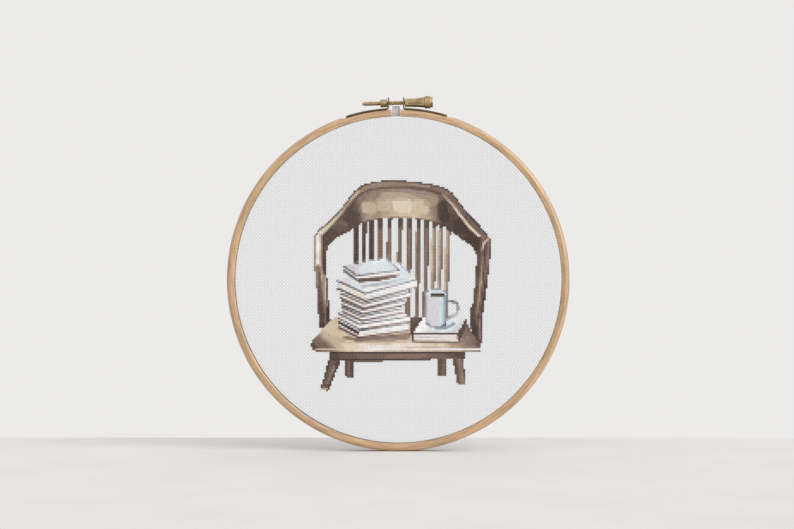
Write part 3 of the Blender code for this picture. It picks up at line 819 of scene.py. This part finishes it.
def drawBooks():
    brush([(-33, -35.6), (-25, -37.2), (7, -34)], (0.8, 1.1), "#8F7866 #8A7260 #9A826D")
    for book in stack:
        drawBook(*book)
    # Sheen and shadow on the two uppermost covers
    lay(insideOf([(-24, 7.6), (-6.4, 12), (-1, 6.6), (-19, 4.4)]), "#DFF0F4", wash=0.03)
    brush([(-31, 8.4), (-24.6, 4.4)], 1.2, "#C7C5CF #D9DDE4")
    brush([(-24, -0.6), (-12, 0.2), (-1.6, 2.2)], (1.1, 0.8), "#5A473D #6B5A50 #8C8078")
    brush([(-22, -4.2), (-6, -2.0), (4, 0.6)], 0.9, "#C5D2DC #B9C6D0 #DCE6EC")
    brush([(-30, 9.8), (-18, 12.2), (-7.4, 13.2), (0.6, 5.9)], 0.45,
          "#7C8589 #A5B3BC #A5B3BC #7C8A93")
    brush([(0.5, 10.6), (11.4, 0.4)], 0.5, "#A3B0B8 #6E7A82")
    brush([(-36.2, -26.4), (-25, -32.6)], 0.95, "#3E4548 #2B1F1A")
    brush([(-36.4, -25), (-25, -31)], 0.45, "#F4F6F6", soft=1.0)
    # The single book that the mug stands on
    lay(insideOf([(7.4, -23), (15.4, -23), (11, -31), (9.6, -36), (7.2, -33)]), "#5F4B41", wash=0.1)
    face = [(15.6, -23.2), (41.4, -24.6), (36.4, -33), (9, -33)]
    lay(insideOf([(9, -33), (36.4, -33), (36.6, -38), (9.2, -37.6)]), "#F3ECEA", wash=0.03)
    lay(insideOf([(36.4, -33), (41.4, -24.6), (42, -29.6), (37.4, -38.4)]), "#5B473E", wash=0.12)
    lay(insideOf(face), blendOf(cellX - cellZ, [
        (38, "#FFFFFF"), (46, "#F6F7F8"), (54, "#DEE4E8"), (60, "#F1F3F4"),
        (68, "#D5DEE4")]), wash=0.03)
    brush([(9, -33.2), (36.4, -33.2)], 0.6, "#54504C #4B4642 #5B4A42")
    brush([(9.4, -35.6), (36.4, -36)], 0.4, "#DCD2D2")
    brush([(9.2, -38.2), (37, -38.8)], (0.6, 0.9), "#9A826E #8A7261", grows=True)
    brush([(8.6, -33), (9.2, -37.6)], 0.5, "#4B3B34")
    brush([(41.6, -24.4), (42.6, -30)], 0.5, "#5F4C42 #7B675A", grows=True)
    brush([(32, -22.4), (41, -24.2)], 0.4, "#A89382 #8A7566")


def drawMug():
    handle = [(29.6, -13.4), (33, -13.2), (36.4, -14.4), (37.2, -17.6), (36.2, -21), (33, -22.8),
              (30, -24)]
    brush(handle, 0.95, "#7B8B95 #8FA0AA #9FB0BA #B9C8D2 #8595A0", grows=True)
    brush(handle[1:5], 0.3, "#46525A #BFCDD6")
    wall = [(16.8, -8.6), (17.2, -26), (18.6, -28.2), (22, -29.2), (27, -29.2), (30, -27.2),
            (30.4, -8.6)]
    lay(insideOf(wall), blendOf(cellX, [
        (16.6, "#93A0A8"), (17.8, "#CDD8DF"), (19.4, "#E0DFE5"), (20.8, "#DCDAE1"),
        (24.4, "#E0DDE4"), (25.8, "#DCEAF0"), (27.8, "#CBDEE8"), (28.6, "#A3ADB0"),
        (30.4, "#818C8B")]), wash=0.03)
    brush([(17.4, -27), (20.4, -29), (26, -29.2), (29.4, -27.6)], 0.7,
          "#7D8D98 #A9BBC8 #8FA0AC #4F5A61")
    rim = np.hypot((cellX - 23.4) / 6.9, (cellZ + 8.2) / 2.5)
    lay(rim < 1.02, "#DCE8F0", wash=0.02)
    lay((rim > 0.8) & (rim < 1.02) & (cellZ > -8.6), "#8B99A3", wash=0.02)
    drink = np.hypot((cellX - 24) / 4.6, (cellZ + 9.5) / 1.25)
    lay(drink < 1.0, blendOf(cellZ, [(-10.4, "#8A7262"), (-9.2, "#3B2B24")]), wash=0.05)
    brush([(23, -30.2), (30, -29.6), (34, -27.4)], (0.5, 0.9), "#A5B7C4 #7E93A1 #A3B5C2")


def nearestFloss():
    # Each cell's slot, and the linear colour of the skein that comes closest
    skeins = [(slot, code) for slot, codes in flosses.items() for code in codes.split()]
    shown = np.array([shownColour(code) for _, code in skeins])
    linear = np.array([hexColour(code)[:3] for _, code in skeins])
    slots = np.array([slot for slot, _ in skeins])
    away = ((canvas[:, :, None, :] - shown) ** 2 * (0.3, 0.5, 0.2)).sum(-1)
    best = away.argmin(-1)
    return slots[best], linear[best]


def strandTemplate(lift):
    # Half a tube from one corner of a cell to the other, arched over the middle
    rings = []
    for along in np.linspace(0, 1, 5):
        for side in np.radians([-15, 55, 125, 195]):
            arch = lift * math.sin(math.pi * along)
            rings.append((along, math.cos(side), math.sin(side), arch))
    return np.array(rings)


def stitchCells(name, cells, colours, floss, strands, rng):
    # One piece: the same strands laid in each cell, a little unevenly
    wide, high, jitter = stitch["strandMm"] / 2, stitch["heightMm"], stitch["jitterMm"]
    rings = len(strands[0][2])
    faces = np.array(gridFaces(rings // 4, 4))
    allVertices, allPlaces, allTints, allFaces = [], [], [], []
    for row, column in cells:
        corner = np.array([columnsOf[column], rowsOf[row]]) * gridMm
        tint = colours[row, column] * (1 + stitch["toneSpread"] * rng.uniform(-1, 1))
        for start, end, template, level, outwards in strands:
            shift = rng.uniform(-1, 1, (2, 2)) * jitter
            foot, head = corner + start + shift[0], corner + end + shift[1]
            length = math.dist(foot, head)
            ux, uz = (head - foot) / length
            along, aside, out, lift = template.T
            reach, side = along * length, aside * wide * (0.8 + 0.2 * np.sin(np.pi * along))
            x, z = foot[0] + ux * reach - uz * side, foot[1] + uz * reach + ux * side
            y = level + outwards * (out * high + lift) * mm
            allFaces.append(faces + rings * len(allVertices))
            allVertices.append(np.stack([x * mm, y, hoopRadius + z * mm], 1))
            allPlaces.append(np.stack([reach, side, np.zeros(rings)], 1))
            allTints.append(np.tile(tint, (rings, 1)))
    attributes = {"strandPlace": np.concatenate(allPlaces), "flossTint": np.concatenate(allTints)}
    return newPiece(name, np.concatenate(allVertices), np.concatenate(allFaces), floss,
                    "stretched_work", attributes=attributes, smooth=80)


def makeStitches():
    rng = np.random.default_rng(stitch["seed"])
    low, top = stitch["insetMm"], gridMm - stitch["insetMm"]
    back = clothFront + cloth["thicknessMm"] * mm
    # A cross is two slanting strands, the upper one always the same way; behind, floss runs upright
    strands = [
        ((low, low), (top, top), strandTemplate(0.02), clothFront, -1),
        ((low, top), (top, low), strandTemplate(0.16), clothFront, -1),
        ((gridMm / 2, -low), (gridMm / 2, gridMm + low), strandTemplate(0.08), back, 1),
    ]
    slots, colours = nearestFloss()
    for slot in flosses:
        shade = slot.split("_")[0]
        floss = strandedFloss("stranded_cotton_" + shade)
        cells = np.argwhere(stitched & (slots == slot))
        parts = np.array_split(cells, math.ceil(len(cells) / stitch["mostInPiece"]))
        for number, part in enumerate(parts, 1):
            stitchCells(f"stitches_{shade}_{number}", part, colours, floss, strands, rng)
        print(slot, len(cells), "cross stitches in", len(parts), "pieces")
    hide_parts("stitched_chair")
    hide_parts("stitched_book_stack", "stitched_book")
    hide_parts("stitched_mug")


# Clamp: screw, knob, nut, brackets and brads

clamp = {"axisMm": (-0.9, 215.5), "tiltDeg": 1.5}


def axisFrame():
    x, z = clamp["axisMm"]
    tilt = Matrix.Rotation(-math.radians(clamp["tiltDeg"]), 4, "Y")
    return Matrix.Translation((x * mm, 0, z * mm)) @ tilt


def axisHeight(x):
    axisX, axisZ = clamp["axisMm"]
    return axisZ * mm + (x - axisX * mm) * math.tan(math.radians(clamp["tiltDeg"]))


def alongAxis(node):
    # Where a node starts and ends along the screw's axis
    axisX = clamp["axisMm"][0] * mm
    return [corner[0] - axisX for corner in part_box(node)]


def profileFrom(start, points):
    return [(start + x * mm, r * mm) for x, r in points]


def turned(name, profile, radiusAt, around, material, body, node):
    # A body of near-round section on the screw's axis; radiusAt(x, turn, radius) shapes it
    place = axisFrame()
    vertices = []
    for x, radius in profile:
        for turn in np.linspace(0, math.tau, around + 1)[:-1]:
            r = radiusAt(x, turn, radius)
            vertices.append(place @ Vector((x, r * math.cos(turn), r * math.sin(turn))))
    faces = gridFaces(len(profile), around, closedColumns=True) + capFaces(around, vertices)
    return newPiece(name, vertices, faces, material, body, (node,), smooth=38)


screw = {
    "radiusMm": 1.36, "pitchMm": 1.0, "threadDepthMm": 0.36, "stepsInTurn": 9,
    "pointMm": ((0, 0.3), (0.12, 0.45), (0.5, 0.8), (1.0, 1.12), (1.5, 1.32)), "pointLengthMm": 1.8,
}


def makeScrew(material):
    start, end = alongAxis("clamp_screw")
    pitch, depth = screw["pitchMm"] * mm, screw["threadDepthMm"] * mm
    full = start + screw["pointLengthMm"] * mm

    def threadRadius(x, turn, radius):
        # Right-handed: one turn about +X moves the crest one pitch along +X
        place = (x / pitch - turn / math.tau) % 1
        cut = depth * softStep(abs(place - 0.5), 0.1, 0.45)
        fade = softStep(x - start, 0.4 * mm, 1.6 * mm)
        return max(0.15 * mm, radius - cut * fade)

    count = round((end - full) / pitch * screw["stepsInTurn"])
    profile = profileFrom(start, screw["pointMm"])
    profile += [(x, screw["radiusMm"] * mm) for x in np.linspace(full, end, count)]
    turned("threaded_rod", profile, threadRadius, 36, material, "screw", "clamp_screw")


knob = {
    "collarMm": (5.0, 1.6),  # where the collar starts and ends, back from the knob's end
    # Profiles as length and radius: from the foot, the collar's two edges and the end
    "footMm": ((0, 1.5), (0, 2.3), (0.1, 2.44), (0.3, 2.5), (0.8, 2.51)),
    "collarStartMm": ((-0.2, 3.2), (-0.1, 3.1), (0, 3.12), (0.02, 3.5), (0.1, 3.74), (0.28, 3.85),
                      (0.42, 3.85)),
    "collarEndMm": ((-0.42, 3.85), (-0.28, 3.85), (-0.1, 3.74), (0, 3.5), (0.02, 3.24),
                    (0.15, 3.2)),
    "headMm": ((-0.35, 3.3), (-0.1, 3.18), (0, 2.95), (0, 1.2)),
    "barrelMm": (2.51, 0.78), "collarRadiusMm": 3.85,
    "flutes": 8, "fluteDepth": 0.1,
    "ridges": 40, "ridgeMm": 0.1,  # straight knurling, about 0.6 mm from ridge to ridge
    "slotMm": (1.5, 1.1), "slotDeg": 25,  # depth and width
    "around": 160,
}


def makeKnob(material):
    size = knob
    start, end = alongAxis("screw_knob")
    collarStart, collarEnd = (end - back * mm for back in size["collarMm"])
    fluteStart, fluteEnd = start + 0.9 * mm, collarStart - 0.25 * mm

    def knobRadius(x, turn, radius):
        if fluteStart < x < fluteEnd:
            # The flutes die away at the barrel's two ends
            fade = min(1, (x - fluteStart) / mm, (fluteEnd - x) / (0.6 * mm))
            hollow = (0.5 - 0.5 * math.cos(size["flutes"] * turn)) ** 1.5
            return radius * (1 - size["fluteDepth"] * fade * hollow)
        if collarStart + 0.35 * mm < x < collarEnd - 0.35 * mm:
            return radius - size["ridgeMm"] * mm * abs(math.sin(size["ridges"] / 2 * turn))
        return radius

    thin, swell = size["barrelMm"]
    profile = profileFrom(start, size["footMm"])
    for x in np.linspace(start + mm, collarStart - 0.3 * mm, 18):
        share = (x - start) / (collarStart - start)
        profile.append((x, (thin + swell * share ** 2.2) * mm))
    profile += profileFrom(collarStart, size["collarStartMm"])
    for x in np.linspace(collarStart + 0.6 * mm, collarEnd - 0.6 * mm, 4):
        profile.append((x, size["collarRadiusMm"] * mm))
    profile += profileFrom(collarEnd, size["collarEndMm"]) + profileFrom(end, size["headMm"])
    piece = turned(
        "fluted_knob", profile, knobRadius, size["around"], material, "screw", "screw_knob")
    deep, wide = size["slotMm"]
    saw = bmesh.new()
    bmesh.ops.create_cube(saw, size=1)
    bmesh.ops.scale(saw, vec=(2 * deep * mm, 12 * mm, wide * mm), verts=saw.verts)
    turn = Matrix.Rotation(math.radians(size["slotDeg"]), 4, "X")
    cutter = cutOut(piece, "slot", saw, axisFrame() @ Matrix.Translation((end, 0, 0)) @ turn)
    applyModifiers(piece)
    bpy.data.objects.remove(cutter)


nut = {
    "cornerMm": 2.65,  # from the axis
    # Length from each face, and radius: the face, then the chamfer
    "chamferMm": ((0, 1.5), (0, 2.2), (0.08, 2.34), (0.3, 2.56), (0.5, 2.66)),
    "gapMm": 0.02,
}


def makeNut(material):
    start, end = alongAxis("clamp_nut")
    start, end = start + nut["gapMm"] * mm, end - nut["gapMm"] * mm
    sixth = math.tau / 6

    def hexRadius(x, turn, radius):
        # A corner points up; the chamfer rounds the corners off towards the two faces
        fromFlat = (turn + sixth / 2 - math.pi / 2) % sixth - sixth / 2
        return min(nut["cornerMm"] * mm * math.cos(sixth / 2) / math.cos(fromFlat), radius)

    profile = profileFrom(start, nut["chamferMm"])
    profile += profileFrom(end, [(-x, r) for x, r in reversed(nut["chamferMm"])])
    turned("hexagon_nut", profile, hexRadius, 72, material, "hoop_left", "clamp_nut")


bracket = {
    "thickMm": 0.8, "wideMm": 8.0, "edgeMm": 0.14, "footCornerMm": 0.8,
    "overWoodMm": 0.3, "bendMm": {"left": 1.9, "right": 1.3}, "holeMm": 1.66,
}


def makeBracket(side, material):
    # A strap along the wood, bent up into an ear with a round top and a hole for the screw
    low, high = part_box(f"bracket_{side}")
    isRight = side == "right"
    sign = 1 if isRight else -1
    strapEnd = outerRing["strapEndsDeg"][isRight]
    half, halfWide = bracket["thickMm"] * mm / 2, bracket["wideMm"] * mm / 2
    corner, bend = bracket["footCornerMm"] * mm, bracket["bendMm"][side] * mm
    earX = low[0] + half if isRight else high[0] - half

    def radiusAt(angle):
        return woodRadius(angle) + bracket["overWoodMm"] * mm + half

    # Stations: a point in the strap's middle, the direction through it, half its width there
    start = math.degrees(math.asin((earX + sign * bend) / radiusAt(0)))
    stations = []
    for angle in np.linspace(strapEnd, start, 22):
        past = min(1, math.radians(abs(angle - strapEnd)) * hoopRadius / corner)
        rounded = halfWide - corner * (1 - math.sqrt(max(0, 1 - (1 - past) ** 2)))
        through = Vector(onHoop(angle, 1, 0)) - Vector((0, 0, hoopRadius))
        stations.append((Vector(onHoop(angle, radiusAt(angle), 0)), through, rounded))
    centre = stations[-1][0] + Vector((0, 0, bend))
    for turn in np.radians(np.linspace(0, 90, 10)[1:]):
        through = Vector((sign * math.sin(turn), 0, math.cos(turn)))
        stations.append((centre - bend * through, through, halfWide))
    for turn in np.radians(np.linspace(0, 84, 16)):
        point = Vector((earX, 0, high[2] - halfWide + halfWide * math.sin(turn)))
        stations.append((point, Vector((sign, 0, 0)), halfWide * math.cos(turn)))
    vertices = []
    for point, through, width in stations:
        out, aside = through * half, Vector((0, width, 0))
        vertices += [point - out - aside, point - out + aside]
        vertices += [point + out + aside, point + out - aside]
    faces = gridFaces(len(stations), 4, closedColumns=True) + capFaces(4, vertices)
    strap = newPiece(f"{side}_strap_and_ear", vertices, faces, material, f"hoop_{side}",
                     (f"bracket_{side}",))
    hole, drill = bracket["holeMm"] * mm, bmesh.new()
    bmesh.ops.create_cone(
        drill, segments=40, radius1=hole, radius2=hole, depth=4 * mm, cap_ends=True)
    level = Matrix.Rotation(math.radians(90), 4, "Y")
    cutter = cutOut(strap, "hole", drill, Matrix.Translation((earX, 0, axisHeight(earX))) @ level)
    edges = strap.modifiers.new("edges", "BEVEL")
    edges.width, edges.segments = bracket["edgeMm"] * mm, 2
    edges.limit_method, edges.angle_limit = "ANGLE", math.radians(50)
    applyModifiers(strap)
    bpy.data.objects.remove(cutter)
    for number, angle in enumerate(brad["placesDeg"][side], 1):
        makeBrad(side, number, angle, radiusAt(angle) + half, material)


brad = {
    "placesDeg": {"left": (-10.6, -16.0), "right": (13.0, 15.6)},
    # Height and radius: a thin shank, and a domed head that the hammer has flattened a little
    "profileMm": ((-2.3, 0.05), (-2.0, 0.5), (-0.05, 0.5), (-0.05, 0.85), (0.02, 0.95), (0.1, 0.92),
                  (0.17, 0.7), (0.21, 0.4), (0.22, 0.1)),
    "proudMm": 0.1, "around": 24,
}


def makeBrad(side, number, angle, onStrap, material):
    around, turn = brad["around"], math.radians(angle)
    outwards = Vector((math.sin(turn), 0, math.cos(turn)))
    onward = Vector((math.cos(turn), 0, -math.sin(turn)))
    base = Vector(onHoop(angle, onStrap + brad["proudMm"] * mm, 0))
    vertices = []
    for up, radius in brad["profileMm"]:
        for spin in np.linspace(0, math.tau, around + 1)[:-1]:
            away = onward * math.cos(spin) + Vector((0, 1, 0)) * math.sin(spin)
            vertices.append(base + outwards * up * mm + away * radius * mm)
    faces = gridFaces(len(brad["profileMm"]), around, closedColumns=True)
    faces += capFaces(around, vertices)
    newPiece(f"brad_head_{side}_{number}", vertices, faces, material, f"hoop_{side}",
             (f"brad_{side}_{number}",), smooth=50)


# Studio, in metres where nothing else is said

studio = {
    "camera": (-0.00075, -1.2, 0.1154), "lensMm": 87.75,
    "floorBack": 0.102, "floorWide": 2.0, "floorEdge": 0.012, "floorDrop": 0.06,
    "floor": ("#DEDCDA", "#E3E2E0"), "floorPatches": 14.0, "background": "#ECEBE9",
    "ambient": "#F8F7F6", "ambientStrength": (0.48, 1.12),  # from below and from above
    "keyFrom": (0.72, -0.50, 0.42), "keyStrength": 1.62, "keyAngleDeg": 50, "keyColour": "#FFFAF5",
}


def makeLights():
    # Even light from all round, and one large soft light high on the right
    world = bpy.data.worlds.new("studio")
    bpy.context.scene.world = world
    world.use_nodes = True
    tree = world.node_tree
    seen = tree.nodes["Background"]
    seen.inputs["Color"].default_value = hexColour(studio["background"])
    towards = addNode(tree, "SeparateXYZ", {0: addNode(tree, "TexCoord").outputs["Generated"]})
    low, high = studio["ambientStrength"]
    strength = addNode(tree, "MapRange", {
        "Value": towards.outputs["Z"], "To Min": low, "To Max": high,
    })
    lights = addNode(tree, "Background", {
        "Color": hexColour(studio["ambient"]), "Strength": strength,
    })
    direct = addNode(tree, "LightPath").outputs["Is Camera Ray"]
    both = addNode(tree, "MixShader", {0: direct, 1: lights, 2: seen})
    tree.links.new(both.outputs[0], tree.nodes["World Output"].inputs["Surface"])
    lamp = bpy.data.lights.new("key", "SUN")
    lamp.energy, lamp.angle = studio["keyStrength"], math.radians(studio["keyAngleDeg"])
    lamp.color = hexColour(studio["keyColour"])[:3]
    key = addObject("key", lamp)
    key.rotation_euler = Vector(studio["keyFrom"]).to_track_quat("Z", "Y").to_euler()


def matWhitePaint():
    # Rolled matt paint: nearly even, with no reflections
    paint, tree, shader = newMaterial("matt_white_paint", Roughness=0.7)
    place = addNode(tree, "TexCoord").outputs["Object"]
    rolled = addNode(tree, "TexNoise", {
        "Vector": place, "Scale": studio["floorPatches"], "Detail": 3.0,
    })
    tint = addNode(tree, "ValToRGB", {"Fac": rolled}, stops=zip((0.3, 0.7), studio["floor"]))
    tree.links.new(tint.outputs[0], shader.inputs["Base Color"])
    return paint


def makeFloor(material):
    # A shelf whose back edge is rounded over
    back, wide, edge = studio["floorBack"], studio["floorWide"], studio["floorEdge"]
    outline = [(-wide, 0)] + arcPoints((back - edge, -edge), edge, 90, 0, 6)
    outline.append((back, -studio["floorDrop"]))
    vertices = [(x, y, z) for x in (-wide, wide) for y, z in outline]
    mesh = bpy.data.meshes.new("floor")
    mesh.from_pydata(vertices, [], gridFaces(2, len(outline)))
    mesh.materials.append(material)
    addObject("floor", mesh)


def makeCamera():
    lens = bpy.data.cameras.new("camera")
    lens.lens, lens.sensor_width = studio["lensMm"], 36
    camera = addObject("camera", lens)
    camera.location = studio["camera"]
    camera.rotation_euler = (math.radians(90), 0, 0)
    bpy.context.scene.camera = camera
    bpy.context.scene.view_settings.view_transform = "Standard"


makeCamera()
makeLights()
makeFloor(matWhitePaint())
print("camera, lights and floor ready")
beechWood = steamedBeech()
makeOuterRing(beechWood)
makeInnerRing(beechWood)
makeFabric(cottonEvenweave())
makeGatheringThread(strandedFloss("cotton_thread", "#EDEDEA"))
for draw in (drawSpindles, drawCrest, drawPosts, drawSeat, drawBooks, drawMug):
    draw()
makeStitches()
rolledBrass = antiqueBrass("rolled_brass_strip", brass["rolled"], brass["rolledRoughness"])
turnedBrass = antiqueBrass("turned_antique_brass", brass["turned"], brass["turnedRoughness"])
for side in ("left", "right"):
    makeBracket(side, rolledBrass)
makeScrew(turnedBrass)
makeKnob(turnedBrass)
makeNut(turnedBrass)
print("clamp done")
